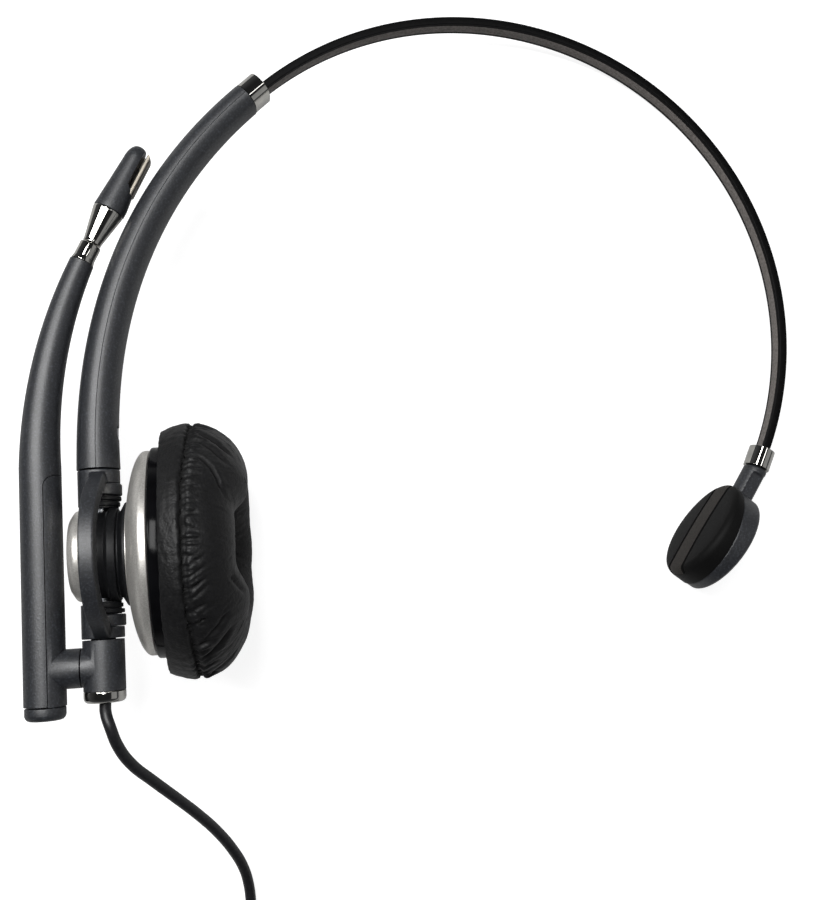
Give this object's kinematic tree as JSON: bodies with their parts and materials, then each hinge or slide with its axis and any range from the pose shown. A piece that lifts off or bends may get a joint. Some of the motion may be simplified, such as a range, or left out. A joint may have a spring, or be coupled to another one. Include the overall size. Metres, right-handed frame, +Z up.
{
  "type": "office headset",
  "caption": "Single-ear office headset with a padded ear cup on a swivel yoke, a stowed microphone boom, a sliding steel head band, a temple pad and a corded jack plug.",
  "frame": {"origin": "on the table under the middle of the headset's box, the cord left out", "axes": "+X from the boom towards the temple pad, +Y up the arm towards the band's crown, +Z up from the table the headset lies on"},
  "size_m": [0.1836, 0.2614, 0.0573],
  "materials": {
    "soft_touch_plastic": "satin charcoal soft-touch plastic with a fine grain",
    "black_plastic": "satin black moulded plastic",
    "silver_paint": "satin warm silver paint on plastic",
    "gloss_black": "polished black plastic",
    "chrome": "bright chrome plate",
    "steel": "plain turned steel",
    "black_spring_steel": "black coated spring steel",
    "cone_film": "thin dark diaphragm film",
    "leatherette": "soft black leatherette with puckers at the seam",
    "pad_rubber": "matt black rubber",
    "cord_vinyl": "satin black vinyl"
  },
  "bodies": {
    "frame": {"arm_outer_shell": "soft_touch_plastic", "arm_inner_shell": "soft_touch_plastic", "arm_plug": "black_plastic", "arm_screw": "steel", "arm_ferrule": "chrome", "band_guide": "black_plastic", "brake_spring": "steel", "yoke": "soft_touch_plastic", "upper_bush": "soft_touch_plastic", "lower_bush": "soft_touch_plastic", "tee_body": "soft_touch_plastic", "tee_ferrule": "chrome", "cord_grommet": "cord_vinyl", "cable": "cord_vinyl", "cable_tail": "cord_vinyl", "cable_coil": "cord_vinyl", "coil_tie": "black_plastic", "plug_boot": "cord_vinyl", "plug_handle": "black_plastic", "jack_pin": "chrome", "jack_rings": "black_plastic"},
    "earcup": {"hub_cap": "silver_paint", "hub_body": "black_plastic", "swivel_pins": "steel", "upper_knuckle": "black_plastic", "lower_knuckle": "black_plastic", "speaker_dish": "silver_paint", "speaker_baffle": "gloss_black", "driver_magnet": "steel", "driver_basket": "black_plastic", "driver_cone": "cone_film", "driver_grille": "black_plastic", "cushion_plate": "black_plastic", "ear_cushion": "leatherette", "dish_screws": "steel"},
    "carriage": {"boom_carriage": "soft_touch_plastic", "boom_end_cap": "soft_touch_plastic", "boom_pivot_pin": "steel", "pivot_clip": "steel", "end_cap_screw": "steel"},
    "boom": {"boom_tube": "soft_touch_plastic", "boom_ring": "chrome"},
    "mic": {"mic_cone": "chrome", "mic_housing": "soft_touch_plastic", "mic_port": "chrome", "mic_capsule": "steel"},
    "headband": {"headband_strip": "black_spring_steel", "band_stop": "steel", "pad_ferrule": "chrome"},
    "temple_pad": {"pad_shell": "soft_touch_plastic", "pad_cushion": "pad_rubber", "pad_rib": "pad_rubber"}
  },
  "joints": [
    {"name": "earcup_swivel", "type": "hinge", "parent": "frame", "child": "earcup", "pos_m": [-0.07434, -0.04622, 0.03174], "axis": [-0.0112, 0.9969, -0.0781], "range_deg": [-12, 12]},
    {"name": "boom_pivot", "type": "hinge", "parent": "frame", "child": "carriage", "pos_m": [-0.07862, -0.07074, 0.03431], "axis": [0.9899, 0, -0.142], "range_deg": [-150, 150]},
    {"name": "boom_extend", "type": "slide", "parent": "carriage", "child": "boom", "axis": [-0.0112, 0.9969, -0.0781], "range_m": [0, 0.02]},
    {"name": "mic_swivel", "type": "hinge", "parent": "boom", "child": "mic", "pos_m": [-0.07752, 0.02166, 0.02677], "axis": [0.4456, 0.885, -0.1347], "range_deg": [-40, 40]},
    {"name": "band_extend", "type": "hinge", "parent": "frame", "child": "headband", "pos_m": [0.01448, 0.00413, 0.01498], "axis": [-0.1415, -0.0789, -0.9868], "range_deg": [0, 8.2]},
    {"name": "pad_swivel", "type": "hinge", "parent": "headband", "child": "temple_pad", "pos_m": [0.08156, -0.03405, 0.00841], "axis": [0.4239, 0.896, -0.1324], "range_deg": [-18, 8]}
  ]
}
